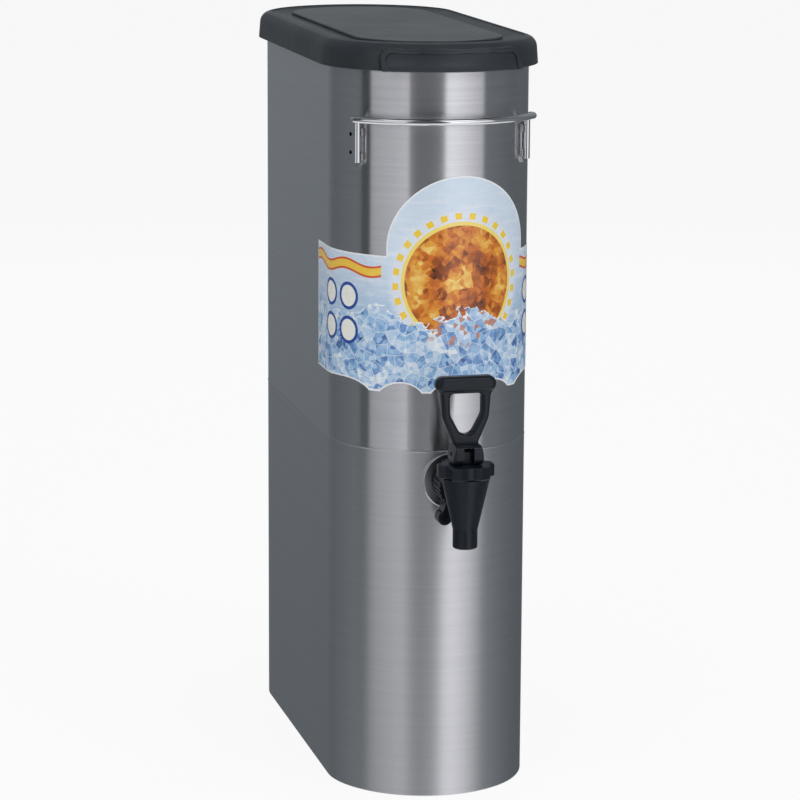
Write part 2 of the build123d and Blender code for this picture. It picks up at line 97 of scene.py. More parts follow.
def mixValue(tree, factor, first, second):
    return addNode(tree, "Mix", {"data_type": "FLOAT"}, {0: factor, 2: first, 3: second}).outputs[0]


# A soft step: 0 below low, 1 above high
def softStep(tree, value, low, high):
    inputs = {0: value, 1: low, 2: high, 3: 0.0, 4: 1.0}
    return addNode(tree, "MapRange", {"interpolation_type": "SMOOTHSTEP"}, inputs).outputs[0]


def noise(tree, place, scale, detail=3.0, roughness=0.55):
    inputs = {"Vector": place, "Scale": scale, "Detail": detail, "Roughness": roughness}
    return addNode(tree, "TexNoise", None, inputs).outputs["Fac"]


def objectPlace(tree):
    return addNode(tree, "TexCoord").outputs["Object"]


def apart(tree, place):
    return addNode(tree, "SeparateXYZ", None, {0: place}).outputs


# Takes out the nodes that Blender puts into a new material or world by itself
def freshTree(owner):
    owner.use_nodes = True
    owner.node_tree.nodes.clear()
    return owner.node_tree


def putOut(tree, shader, kind="OutputMaterial"):
    addNode(tree, kind, None, {"Surface": shader.outputs[0]})


# Effects that several materials share; each is a group with inputs and outputs
def startGroup(name, takes, gives):
    tree = bpy.data.node_groups.new(name, "ShaderNodeTree")
    for label, value in takes:
        socket = tree.interface.new_socket(label, in_out="INPUT", socket_type="NodeSocketFloat")
        socket.default_value = value
    for label in gives:
        tree.interface.new_socket(label, in_out="OUTPUT", socket_type="NodeSocketFloat")
    return tree, tree.nodes.new("NodeGroupInput").outputs, tree.nodes.new("NodeGroupOutput")


def useGroup(tree, group, inputs):
    return addNode(tree, "Group", {"node_tree": group}, inputs).outputs


# Brushed metal: streaks that run level round the tank and change quickly with height
def makeBrushedGrain():
    brush = {"coarse": 0.22, "coarseShare": 0.45}
    takes = [("Along", 14.0), ("Across", 900.0), ("Contrast", 0.5)]
    tree, given, out = startGroup("brushedGrain", takes, ["Streak", "Height"])
    stretch = addNode(tree, "CombineXYZ", None,
                      {0: given["Along"], 1: given["Along"], 2: given["Across"]})
    level = vectorMaths(tree, "MULTIPLY", objectPlace(tree), stretch.outputs[0])
    fine = noise(tree, level, 1.0, detail=4.0, roughness=0.7)
    coarse = noise(tree, level, brush["coarse"], roughness=0.6)
    both = mixValue(tree, brush["coarseShare"], fine, coarse)
    # A contrast of a half leaves the noise as it is
    centred = maths(tree, "SUBTRACT", both, 0.5)
    strength = maths(tree, "MULTIPLY", given["Contrast"], 2.0)
    streak = maths(tree, "MULTIPLY_ADD", centred, strength, 0.5, clamp=True)
    connect(tree, out, {"Streak": streak, "Height": fine})
    return tree


# Soft blotches a few centimetres wide, for handling marks and uneven polish
def makeSurfaceMottle():
    blotch = {"smaller": 5.3, "smallShare": 0.35, "from": 0.38, "to": 0.66}
    tree, given, out = startGroup("surfaceMottle", [("Scale", 20.0)], ["Mask"])
    place = objectPlace(tree)
    smallScale = maths(tree, "MULTIPLY", given["Scale"], blotch["smaller"])
    broad = noise(tree, place, given["Scale"], detail=2.0, roughness=0.5)
    small = noise(tree, place, smallScale, detail=4.0, roughness=0.6)
    both = mixValue(tree, blotch["smallShare"], broad, small)
    connect(tree, out, {"Mask": softStep(tree, both, blotch["from"], blotch["to"])})
    return tree


# The fine pebble of moulded plastic, as a height and a mask
def makeMouldedGrain():
    pebble = {"smoothness": 0.8, "grit": 0.8, "gritShare": 0.5, "flow": 0.02}
    tree, given, out = startGroup("mouldedGrain", [("Grain", 1500.0)], ["Height", "Mask"])
    place = objectPlace(tree)
    inputs = {"Vector": place, "Scale": given["Grain"], "Smoothness": pebble["smoothness"]}
    stones = addNode(tree, "TexVoronoi", {"feature": "SMOOTH_F1"}, inputs).outputs["Distance"]
    gritScale = maths(tree, "MULTIPLY", given["Grain"], pebble["grit"])
    flowScale = maths(tree, "MULTIPLY", given["Grain"], pebble["flow"])
    grit = noise(tree, place, gritScale, detail=2.0, roughness=0.6)
    flow = noise(tree, place, flowScale, roughness=0.6)
    height = mixValue(tree, pebble["gritShare"], stones, grit)
    connect(tree, out, {"Height": height, "Mask": flow})
    return tree


# Where a rounded corner bends away from its face: rubbed and a little lighter, which in the plastics is also
# a painted highlight along the edge
def makeEdgeWearAndHighlight():
    rub = {"samples": 6, "from": 0.01, "to": 0.18, "brokenFrom": 0.35, "brokenTo": 0.6}
    tree, given, out = startGroup("edgeWearAndHighlight", [("Radius", 0.0008), ("Break", 300.0)], ["Mask"])
    eased = addNode(tree, "Bevel", {"samples": rub["samples"]}, {"Radius": given["Radius"]}).outputs[0]
    plain = addNode(tree, "NewGeometry").outputs["Normal"]
    facing = vectorMaths(tree, "DOT_PRODUCT", eased, plain, output="Value")
    edge = softStep(tree, maths(tree, "SUBTRACT", 1.0, facing), rub["from"], rub["to"])
    patches = noise(tree, objectPlace(tree), given["Break"], roughness=0.6)
    broken = softStep(tree, patches, rub["brokenFrom"], rub["brokenTo"])
    connect(tree, out, {"Mask": maths(tree, "MULTIPLY", edge, broken)})
    return tree


brushedGrain = makeBrushedGrain()
surfaceMottle = makeSurfaceMottle()
mouldedGrain = makeMouldedGrain()
edgeWearAndHighlight = makeEdgeWearAndHighlight()
print("effect groups made")


def startMaterial(name, preview):
    made = bpy.data.materials.new(name)
    made.diffuse_color = preview
    tree = freshTree(made)
    shader = addNode(tree, "BsdfPrincipled")
    putOut(tree, shader)
    return made, tree, shader


def bump(tree, height, distance, strength=1.0):
    inputs = {"Height": height, "Distance": distance, "Strength": strength}
    return addNode(tree, "Bump", None, inputs).outputs[0]


def mottle(tree, scale):
    return useGroup(tree, surfaceMottle, {"Scale": scale})["Mask"]


# Paints shade into the plates' four dimples, which fold onto one place left to right and top to bottom: a
# painted shade, as the dimples lie in shadow
def paintPitShade(tree, colour, finish):
    low = vectorMaths(tree, "SUBTRACT", objectPlace(tree), (0.0, 0.0, finish["pitMiddle"]))
    folded = vectorMaths(tree, "ABSOLUTE", low)
    gap = vectorMaths(tree, "DISTANCE", folded, finish["pitPlace"], output="Value")
    return mixColour(tree, maths(tree, "LESS_THAN", gap, finish["pitReach"]), colour, finish["pitShade"])


# Brushed stainless sheet; the grain runs round the tank, so lights spread up and down
def makeBrushedSteel(name, finish):
    made, tree, shader = startMaterial(name, finish["colour"])
    grain = useGroup(tree, brushedGrain, {"Along": finish["along"], "Across": finish["across"],
                                          "Contrast": finish["contrast"]})
    marks = mottle(tree, finish["markScale"])
    dip = mixColour(tree, 1.0, finish["colour"], finish["dip"], "MULTIPLY")
    colour = mixColour(tree, grain["Streak"], dip, finish["colour"])
    colour = mixColour(tree, maths(tree, "MULTIPLY", marks, finish["markAmount"]), colour, finish["mark"])
    # Painted shade: the plate's dimples are painted near-black
    if "pitShade" in finish:
        colour = paintPitShade(tree, colour, finish)
    rough = sumOf(tree, [(grain["Streak"], -finish["roughSpread"]), (marks, finish["markRough"])],
                  finish["roughness"])
    connect(tree, shader, {"Base Color": colour, "Metallic": 1.0, "Roughness": rough,
                           "Anisotropic": finish["anisotropy"], "Anisotropic Rotation": finish["grainTurn"],
                           "Normal": bump(tree, grain["Height"], finish["depth"])})
    if finish["anisotropy"]:
        tangent = addNode(tree, "Tangent", {"direction_type": "RADIAL", "axis": "Z"})
        connect(tree, shader, {"Tangent": tangent.outputs[0]})
    return made


# Near-black moulded plastic: fine grain, faint flow marks, edges a little lighter (partly rubbed wear, partly
# a painted highlight), and on the lid a painted sheen on its top panel
def makeMouldedPlastic(name, finish):
    made, tree, shader = startMaterial(name, finish["colour"])
    grain = useGroup(tree, mouldedGrain, {"Grain": finish["grain"]})
    worn = useGroup(tree, edgeWearAndHighlight, {"Radius": finish["wearRadius"], "Break": finish["wearBreak"]})
    colour = mixColour(tree, grain["Mask"], finish["colour"], finish["flow"])
    # Painted sheen: the lid's flat top panel is painted lighter for the light it catches from above
    if "panel" in finish:
        height = apart(tree, objectPlace(tree))[2]
        onPanel = maths(tree, "COMPARE", height, finish["panelHeight"], finish["panelReach"])
        colour = mixColour(tree, onPanel, colour, finish["panel"])
    # Rounded edges go lighter: partly rubbed wear and partly a painted highlight, most of all along the lid's
    # crest
    colour = mixColour(tree, maths(tree, "MULTIPLY", worn["Mask"], finish["wearAndHighlight"]), colour, finish["edge"])
    marks = mottle(tree, finish["markScale"])
    rough = maths(tree, "MULTIPLY_ADD", marks, finish["roughSpread"], finish["roughness"])
    connect(tree, shader, {"Base Color": colour, "Roughness": rough, "Specular IOR Level": finish["gloss"],
                           "Coat Weight": finish["coat"], "Coat Roughness": finish["coatRough"],
                           "Normal": bump(tree, grain["Height"], finish["depth"], finish["relief"])})
    return made


# Bright wire and small turned pieces
def makePolishedSteel(name, finish):
    made, tree, shader = startMaterial(name, finish["colour"])
    marks = mottle(tree, finish["markScale"])
    worn = useGroup(tree, edgeWearAndHighlight, {"Radius": finish["wearRadius"], "Break": finish["wearBreak"]})
    marked = maths(tree, "MULTIPLY", marks, finish["markAmount"])
    colour = mixColour(tree, marked, finish["colour"], finish["mark"])
    rough = sumOf(tree, [(marks, finish["roughSpread"]), (worn["Mask"], finish["wearRough"])],
                  finish["roughness"])
    scratch = noise(tree, objectPlace(tree), finish["scratch"], roughness=0.7)
    connect(tree, shader, {"Base Color": colour, "Metallic": 1.0, "Roughness": rough,
                           "Normal": bump(tree, scratch, finish["depth"])})
    return made


# Soft white seals: light goes a little way in
def makeSilicone(name, finish):
    made, tree, shader = startMaterial(name, finish["colour"])
    marks = mottle(tree, finish["markScale"])
    grain = useGroup(tree, mouldedGrain, {"Grain": finish["grain"]})
    rough = maths(tree, "MULTIPLY_ADD", marks, finish["roughSpread"], finish["roughness"])
    connect(tree, shader, {"Base Color": mixColour(tree, marks, finish["colour"], finish["mark"]),
                           "Roughness": rough, "Subsurface Weight": finish["soft"],
                           "Subsurface Scale": finish["softDepth"],
                           "Normal": bump(tree, grain["Height"], finish["depth"], finish["relief"])})
    return made


# The tank's plan, the same one that the solids have: a round nose at each end, and tighter corners
# from there to the straight sides
plan = {"halfWidth": 0.074, "halfSide": 0.1061, "cornerInset": 0.014, "noseExcess": 0.0006}
cornerRadius = plan["halfWidth"] - plan["cornerInset"]
noseRadius = plan["halfWidth"] + plan["noseExcess"]
noseY = plan["halfSide"] - sqrt((noseRadius - cornerRadius) ** 2 - plan["cornerInset"] ** 2)
noseTurn = atan2(plan["cornerInset"], plan["halfSide"] - noseY)
noseArc = noseRadius * noseTurn
cornerArc = cornerRadius * (pi / 2 - noseTurn)
halfRound = 2 * (noseArc + cornerArc) + 2 * plan["halfSide"]

# Where the wire handle's legs stand on their plates, and where a plate's dimples are from its leg
leg = {"turn": radians(53.0), "plateFace": 0.00165, "wireRadius": 0.0024,
       "dimpleBack": 0.0082, "dimpleRise": 0.0065}
plateLow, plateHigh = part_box("left_handle_plate")
plateHeight = (plateLow.z + plateHigh.z) / 2
plateReach = noseRadius + leg["plateFace"]
dimpleTurn = leg["turn"] + leg["dimpleBack"] / noseRadius
dimplePlace = (plateReach * sin(dimpleTurn), noseY + plateReach * cos(dimpleTurn) - tankMiddle,
               leg["dimpleRise"])

panelDrop = 0.0005    # from the lid's top down to its panel

tankFinish = {"colour": (0.60, 0.607, 0.622, 1.0), "dip": (0.84, 0.84, 0.85, 1.0),
              "mark": (0.52, 0.53, 0.55, 1.0), "along": 9.0, "across": 1500.0, "contrast": 0.9,
              "depth": 0.0000006, "roughness": 0.265, "roughSpread": 0.03, "anisotropy": 1.0,
              "grainTurn": 0.25, "markScale": 16.0, "markAmount": 0.05, "markRough": 0.006}
baseFinish = {**tankFinish, "roughness": 0.38, "anisotropy": 0.76}
panFinish = {**tankFinish, "roughness": 0.36, "anisotropy": 0.0, "along": 60.0, "across": 60.0}
flangeFinish = {**tankFinish, "roughness": 0.30, "anisotropy": 0.0, "along": 900.0, "across": 900.0,
                "contrast": 0.4, "markScale": 120.0}
shankFinish = {**flangeFinish, "roughness": 0.34}
# The plates' pit colour is a painted shade for their dimples
plateFinish = {**tankFinish, "colour": (0.62, 0.63, 0.65, 1.0), "roughness": 0.24, "anisotropy": 0.0,
               "along": 300.0, "across": 900.0, "markScale": 150.0, "markAmount": 0.25,
               "pitShade": (0.03, 0.03, 0.035, 1.0), "pitMiddle": plateHeight, "pitPlace": dimplePlace,
               "pitReach": 0.00145}
weldFinish = {**tankFinish, "colour": (0.44, 0.42, 0.39, 1.0), "roughness": 0.42, "anisotropy": 0.0,
              "along": 700.0, "across": 700.0, "depth": 0.00004, "markScale": 300.0, "markAmount": 0.5}
wireFinish = {"colour": (0.70, 0.71, 0.73, 1.0), "mark": (0.58, 0.59, 0.62, 1.0), "roughness": 0.10,
              "roughSpread": 0.06, "markScale": 90.0, "markAmount": 0.3, "scratch": 700.0,
              "depth": 0.00001, "wearRadius": 0.0004, "wearBreak": 400.0, "wearRough": 0.05}
turnedFinish = {**wireFinish, "colour": (0.66, 0.67, 0.69, 1.0), "roughness": 0.2, "markScale": 200.0}
# The lid's edge colour is partly rubbed wear and partly a painted highlight along its crest; its panel colour
# is a painted sheen
lidFinish = {"colour": screenColour(36, 42, 47), "flow": screenColour(42, 48, 53),
             "edge": screenColour(96, 101, 108), "grain": 1400.0, "depth": 0.00006, "relief": 0.35,
             "panel": screenColour(62, 67, 71), "panelHeight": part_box("lid")[1].z - panelDrop,
             "panelReach": 0.0003, "roughness": 0.42, "roughSpread": 0.06, "gloss": 0.4,
             "coat": 0.05, "coatRough": 0.12, "markScale": 14.0,
             "wearAndHighlight": 0.55, "wearRadius": 0.0012, "wearBreak": 60.0}
tapFinish = {"colour": screenColour(17, 24, 31), "flow": screenColour(23, 30, 38),
             "edge": screenColour(70, 75, 80), "grain": 2600.0, "depth": 0.00003, "relief": 0.25,
             "roughness": 0.28, "roughSpread": 0.06, "gloss": 0.2, "coat": 0.1, "coatRough": 0.12,
             "markScale": 60.0, "wearAndHighlight": 0.30, "wearRadius": 0.0006, "wearBreak": 260.0}
sealFinish = {"colour": screenColour(236, 236, 230), "mark": screenColour(220, 216, 202),
              "markScale": 90.0, "grain": 2600.0, "depth": 0.00003, "relief": 0.4,
              "roughness": 0.42, "roughSpread": 0.12, "soft": 0.25, "softDepth": 0.002}

materials = {
    "tank": makeBrushedSteel("tankSteel", tankFinish),
    "base": makeBrushedSteel("baseSteel", baseFinish),
    "pan": makeBrushedSteel("panSteel", panFinish),
    "flange": makeBrushedSteel("flangeSteel", flangeFinish),
    "shank": makeBrushedSteel("shankSteel", shankFinish),
    "plate": makeBrushedSteel("plateSteel", plateFinish),
    "weld": makeBrushedSteel("weldSteel", weldFinish),
    "wire": makePolishedSteel("brightWire", wireFinish),
    "turned": makePolishedSteel("turnedSteel", turnedFinish),
    "lid": makeMouldedPlastic("lidPlastic", lidFinish),
    "tap": makeMouldedPlastic("tapPlastic", tapFinish),
    "silicone": makeSilicone("silicone", sealFinish),
}
cadFinishes = {
    "tank_wall": "tank", "base_skirt": "base", "tank_floor": "pan", "outlet_flange": "flange",
    "outlet_shank": "shank", "shank_washer": "silicone", "retaining_ring": "turned", "wing_nut": "tap",
    "tap_body": "tap", "bonnet": "tap", "seat_cup": "silicone", "valve_stem": "tap",
    "return_spring": "turned", "handle_pin": "turned", "lever_handle": "tap", "carry_handle": "wire",
    "right_handle_plate": "plate", "left_handle_plate": "plate", "lid": "lid",
}
for node, finish in cadFinishes.items():
    nodes[node].data.materials.clear()
    nodes[node].data.materials.append(materials[finish])
print("finishes made and given to the carried-over nodes")


# A point on the plan, a distance round from the middle of the nose, moved out of the sheet by grow
def planPoint(along, height, grow):
    side = 1 if along >= 0 else -1
    reach = abs(along)
    end = -1
    if reach > halfRound / 2:
        reach = halfRound - reach
        end = 1
    if reach <= noseArc:
        turn = reach / noseRadius
        x = (noseRadius + grow) * sin(turn)
        y = noseY + (noseRadius + grow) * cos(turn)
    elif reach <= noseArc + cornerArc:
        turn = noseTurn + (reach - noseArc) / cornerRadius
        x = plan["cornerInset"] + (cornerRadius + grow) * sin(turn)
        y = plan["halfSide"] + (cornerRadius + grow) * cos(turn)
    else:
        x = plan["halfWidth"] + grow
        y = plan["halfSide"] - (reach - noseArc - cornerArc)
    return Vector((side * x, tankMiddle + end * y, height))


# Makes a smooth-shaded piece of a mesh and fixes it to the tank
def finishMesh(name, mesh, material):
    made = bpy.data.meshes.new(name)
    bmesh.ops.recalc_face_normals(mesh, faces=mesh.faces)
    mesh.to_mesh(made)
    mesh.free()
    made.materials.append(material)
    for face in made.polygons:
        face.use_smooth = True
    piece = bpy.data.objects.new(name, made)
    bpy.context.scene.collection.objects.link(piece)
    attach(piece, "root")
    return piece


# Joins rings of points into a tube; each ring is a list of points
def bridgeRings(mesh, rings, closed):
    rows = [[mesh.verts.new(point) for point in ring] for ring in rings]
    pairs = list(zip(rows, rows[1:]))
    if closed:
        pairs.append((rows[-1], rows[0]))
    for first, second in pairs:
        for index in range(len(first)):
            after = (index + 1) % len(first)
            mesh.faces.new((first[index], first[after], second[after], second[index]))
    return rows


# The weld between tank and base: a low rounded bead, all the way round
def makeWeldSeam():
    seam = {"height": 0.26, "width": 0.0014, "proud": 0.00022, "sink": 0.0002, "shoulder": 0.3,
            "footAt": 0.5, "shoulderAt": 0.38, "crownAt": 0.12, "steps": 360}
    half = [(-seam["sink"], seam["footAt"]), (seam["shoulder"] * seam["proud"], seam["shoulderAt"]),
            (seam["proud"], seam["crownAt"])]
    profile = [(grow, -lift) for grow, lift in half] + half[::-1]
    rings = []
    for step in range(seam["steps"]):
        along = halfRound * (2 * step / seam["steps"] - 1)
        rings.append([planPoint(along, seam["height"] + lift * seam["width"], grow)
                      for grow, lift in profile])
    mesh = bmesh.new()
    bridgeRings(mesh, rings, closed=True)
    finishMesh("weldSeam", mesh, materials["base"])


makeWeldSeam()
print("weld seam made")


# The film's outline is its solid's, and it lies on the tank all the way round the nose
film = {"low": 0.303, "high": 0.402, "domeAcross": 0.008, "domeMiddle": 0.408, "domeRadius": 0.052,
        "scallop": 0.017, "scallopMiddle": 0.293, "sideBites": 2, "backY": 0.0751,
        "outer": 0.00033, "inner": 0.00006, "border": 0.0011, "leastColumn": 0.0004,
        "rows": 26, "domeRows": 18, "domeSteps": 40, "biteSteps": 16, "sideSteps": 8, "gapSteps": 8}

# The film's design is drawn in centimetres, round the nose and up from the sheet's foot:
# a plain amber sun over a mosaic shore, with a ribbon and dots on both sides
sheet = {"perMetre": 100, "foot": 0.3, "border": screenColour(244, 247, 250), "cell": 1.25, "chip": 3.1,
         "wander": 0.9, "gloss": 0.5, "coat": 0.25, "coatRough": 0.12, "roughness": 0.24,
         "roughSpread": 0.10, "markScale": 30.0, "ripple": 6.0, "depth": 0.00003, "relief": 0.5}
sky = {"low": screenColour(150, 188, 226), "high": screenColour(214, 228, 243), "from": 3.0, "to": 10.5,
       "stroke": screenColour(236, 243, 250), "strokeTurn": 0.5, "strokeShape": (0.25, 1.6, 1.0),
       "strokeScale": 1.4, "strokeFrom": 0.45, "strokeTo": 0.75, "strokeShare": 0.7}
sun = {"middle": (0.8, 8.3, 0.0), "radius": 4.15, "ringWidth": 0.28, "ring": screenColour(250, 226, 120),
       "haze": screenColour(228, 235, 246), "hazeRadius": 5.6, "hazeSoft": 0.8,
       "ray": screenColour(250, 212, 62), "rays": 28.0, "rayInner": 4.6, "rayOuter": 5.05, "raySoft": 0.25,
       "amber": [(0.0, screenColour(78, 40, 22)), (0.25, screenColour(150, 74, 26)),
                 (0.5, screenColour(212, 114, 36)), (0.75, screenColour(236, 164, 58)),
                 (1.0, screenColour(252, 220, 124))],
       "cellShare": 0.45, "chipShare": 0.35, "wanderShare": 0.5, "hoops": 2.3, "hoopShare": 0.14,
       "lift": 0.10}
shore = {"height": 5.3, "swell": 0.55, "turns": 0.85, "wander": 2.2, "cellStep": 0.9,
         "tones": [(0.0, screenColour(50, 72, 128)), (0.16, screenColour(88, 134, 196)),
                   (0.4, screenColour(150, 190, 230)), (0.66, screenColour(198, 220, 242)),
                   (1.0, screenColour(248, 251, 255))],
         "cellShare": 0.55, "chipShare": 0.45, "wanderShare": 0.35,
         "crest": screenColour(250, 252, 255), "crestWidth": 0.10, "joint": 0.03, "jointShare": 0.6,
         "glint": screenColour(196, 112, 58), "glintRadius": 5.2, "glintSoft": 1.2,
         "glintFrom": 0.80, "glintShare": 0.8}
ribbon = {"height": 9.15, "half": 0.42, "rim": 0.15, "start": 5.9, "turns": 1.3, "bend": 0.22,
          "core": screenColour(248, 206, 74), "edge": screenColour(222, 84, 42)}
dots = {"across": (-10.5, -8.1, 8.3, 10.7), "up": (7.0, 4.5), "radius": 0.78, "rim": 0.24,
        "colour": screenColour(247, 246, 238), "edge": screenColour(40, 78, 160)}


def colourRamp(tree, value, stops):
    made = addNode(tree, "ValToRGB", None, {0: value})
    elements = made.color_ramp.elements
    while len(elements) < len(stops):
        elements.new(0.5)
    for element, (spot, colour) in zip(elements, stops):
        element.position = spot
        element.color = colour
    return made.outputs[0]


def cells(tree, place, scale, feature="F1"):
    settings = {"feature": feature, "voronoi_dimensions": "2D"}
    return addNode(tree, "TexVoronoi", settings, {"Vector": place, "Scale": scale}).outputs


def cellShades(tree, place, scale):
    return addNode(tree, "SeparateColor", None, {0: cells(tree, place, scale)["Color"]}).outputs


# What the drawing's layers read: places on the film, and shades that change from tile to tile
def layOut(tree):
    place = addNode(tree, "UVMap", {"uv_map": "print"}).outputs[0]
    spots = apart(tree, place)
    return {"place": place, "across": spots[0], "up": spots[1],
            "far": vectorMaths(tree, "DISTANCE", place, sun["middle"], output="Value"),
            "wander": maths(tree, "SUBTRACT", noise(tree, place, sheet["wander"]), 0.5),
            "large": cellShades(tree, place, sheet["cell"]),
            "small": cellShades(tree, place, sheet["chip"])}


# A sky that pales upward, with slanting brush strokes
def drawSky(tree, at):
    art = mixColour(tree, softStep(tree, at["up"], sky["from"], sky["to"]), sky["low"], sky["high"])
    slant = addNode(tree, "Mapping", None, {0: at["place"], "Rotation": (0.0, 0.0, sky["strokeTurn"]),
                                            "Scale": sky["strokeShape"]})
    brush = noise(tree, slant.outputs[0], sky["strokeScale"], detail=4.0)
    brush = softStep(tree, brush, sky["strokeFrom"], sky["strokeTo"])
    return mixColour(tree, maths(tree, "MULTIPLY", brush, sky["strokeShare"]), art, sky["stroke"])


# A disc of amber tiles in a pale haze, with a ring and short rays round it
def drawSun(tree, art, at):
    haze = maths(tree, "SUBTRACT", sun["hazeRadius"], at["far"])
    art = mixColour(tree, softStep(tree, haze, 0.0, sun["hazeSoft"]), art, sun["haze"])
    bearing = maths(tree, "ARCTAN2", maths(tree, "SUBTRACT", at["up"], sun["middle"][1]),
                    maths(tree, "SUBTRACT", at["across"], sun["middle"][0]))
    beam = maths(tree, "SINE", maths(tree, "MULTIPLY", bearing, sun["rays"]))
    beam = softStep(tree, beam, 0.0, sun["raySoft"])
    reach = maths(tree, "COMPARE", at["far"], (sun["rayInner"] + sun["rayOuter"]) / 2,
                  (sun["rayOuter"] - sun["rayInner"]) / 2)
    art = mixColour(tree, maths(tree, "MULTIPLY", beam, reach), art, sun["ray"])
    halfRing = sun["ringWidth"] / 2
    onRing = maths(tree, "COMPARE", at["far"], sun["radius"] + halfRing, halfRing)
    art = mixColour(tree, onRing, art, sun["ring"])
    hoops = maths(tree, "SINE", maths(tree, "MULTIPLY", at["far"], sun["hoops"]))
    tone = sumOf(tree, [(at["large"][0], sun["cellShare"]), (at["small"][1], sun["chipShare"]),
                        (at["wander"], sun["wanderShare"]), (hoops, sun["hoopShare"])])
    amber = colourRamp(tree, maths(tree, "ADD", tone, sun["lift"]), sun["amber"])
    return mixColour(tree, maths(tree, "LESS_THAN", at["far"], sun["radius"]), art, amber)


# Blue tiles up to a wavy crest, with pale joints, and warm glints near the sun
def drawShore(tree, art, at):
    swell = maths(tree, "SINE", maths(tree, "MULTIPLY", at["across"], shore["turns"]))
    top = sumOf(tree, [(swell, shore["swell"]), (at["wander"], shore["wander"]),
                       (at["large"][2], shore["cellStep"])], shore["height"])
    under = maths(tree, "SUBTRACT", top, at["up"])
    tone = sumOf(tree, [(at["large"][1], shore["cellShare"]), (at["small"][0], shore["chipShare"]),
                        (at["wander"], shore["wanderShare"])])
    tiles = colourRamp(tree, tone, shore["tones"])
    joint = cells(tree, at["place"], sheet["cell"], "DISTANCE_TO_EDGE")["Distance"]
    joint = maths(tree, "LESS_THAN", joint, shore["joint"])
    tiles = mixColour(tree, maths(tree, "MULTIPLY", joint, shore["jointShare"]), tiles, shore["crest"])
    near = maths(tree, "SUBTRACT", shore["glintRadius"], at["far"])
    near = softStep(tree, near, 0.0, shore["glintSoft"])
    glint = maths(tree, "GREATER_THAN", at["small"][2], shore["glintFrom"])
    glint = maths(tree, "MULTIPLY", maths(tree, "MULTIPLY", glint, near), shore["glintShare"])
    tiles = mixColour(tree, glint, tiles, shore["glint"])
    art = mixColour(tree, maths(tree, "GREATER_THAN", under, 0.0), art, tiles)
    crest = maths(tree, "COMPARE", under, 0.0, shore["crestWidth"] / 2)
    return mixColour(tree, crest, art, shore["crest"])


# A wavy ribbon with a darker rim, to the left and right of the sun
def drawRibbon(tree, art, at):
    bend = maths(tree, "SINE", maths(tree, "MULTIPLY", at["across"], ribbon["turns"]))
    middle = maths(tree, "ADD", maths(tree, "MULTIPLY", bend, ribbon["bend"]), ribbon["height"])
    off = maths(tree, "ABSOLUTE", maths(tree, "SUBTRACT", at["up"], middle))
    aside = maths(tree, "ABSOLUTE", maths(tree, "SUBTRACT", at["across"], sun["middle"][0]))
    onSide = maths(tree, "GREATER_THAN", aside, ribbon["start"])
    core = ribbon["half"] - ribbon["rim"]
    for half, colour in ((ribbon["half"], ribbon["edge"]), (core, ribbon["core"])):
        strip = maths(tree, "MULTIPLY", maths(tree, "LESS_THAN", off, half), onSide)
        art = mixColour(tree, strip, art, colour)
    return art


# Pale dots with a blue rim, under the ribbon
def drawDots(tree, art, at):
    rim = dots["radius"] + dots["rim"]
    for x in dots["across"]:
        for y in dots["up"]:
            gap = vectorMaths(tree, "DISTANCE", at["place"], (x, y, 0.0), output="Value")
            for radius, colour in ((rim, dots["edge"]), (dots["radius"], dots["colour"])):
                art = mixColour(tree, maths(tree, "LESS_THAN", gap, radius), art, colour)
    return art


# Printed vinyl: flat mosaic shapes in the colours of sky, water and amber, under a clear gloss
def makePrintedFilm():
    made, tree, shader = startMaterial("printedFilm", sky["low"])
    at = layOut(tree)
    art = drawSky(tree, at)
    for draw in (drawSun, drawShore, drawRibbon, drawDots):
        art = draw(tree, art, at)
    edge = addNode(tree, "Attribute", {"attribute_name": "edgeGap"}).outputs["Fac"]
    art = mixColour(tree, maths(tree, "LESS_THAN", edge, film["border"]), art, sheet["border"])
    handled = mottle(tree, sheet["markScale"])
    rough = maths(tree, "MULTIPLY_ADD", handled, sheet["roughSpread"], sheet["roughness"])
    ripple = noise(tree, at["place"], sheet["ripple"], detail=2.0)
    connect(tree, shader, {"Base Color": art, "Roughness": rough, "Specular IOR Level": sheet["gloss"],
                           "Coat Weight": sheet["coat"], "Coat Roughness": sheet["coatRough"],
                           "Normal": bump(tree, ripple, sheet["depth"], sheet["relief"])})
    return made


# The film's lower edge: straight, with round bites out of it
def filmFoot(x):
    bite = max(-film["sideBites"], min(film["sideBites"], round(x / (2 * film["scallop"]))))
    offset = abs(x - 2 * bite * film["scallop"])
    if offset >= film["scallop"]:
        return film["low"]
    return max(film["low"], film["scallopMiddle"] + sqrt(film["scallop"] ** 2 - offset ** 2))


# The round top of its dome
def filmTop(x):
    offset = min(abs(x - film["domeAcross"]), film["domeRadius"])
    return film["domeMiddle"] + sqrt(film["domeRadius"] ** 2 - offset ** 2)


# How far round the nose a spot is that stands this far to the right of the middle
def alongFrom(x):
    side = 1 if x >= 0 else -1
    if abs(x) <= noseRadius * sin(noseTurn):
        return side * noseRadius * asin(abs(x) / noseRadius)
    turn = asin(min((abs(x) - plan["cornerInset"]) / cornerRadius, 1.0))
    return side * (noseArc + cornerRadius * (turn - noseTurn))


# Places from side to side of an arc, closer together towards its ends
def arcPlaces(middle, half, steps):
    return [middle + half * sin(pi * (step / steps - 0.5)) for step in range(steps + 1)]


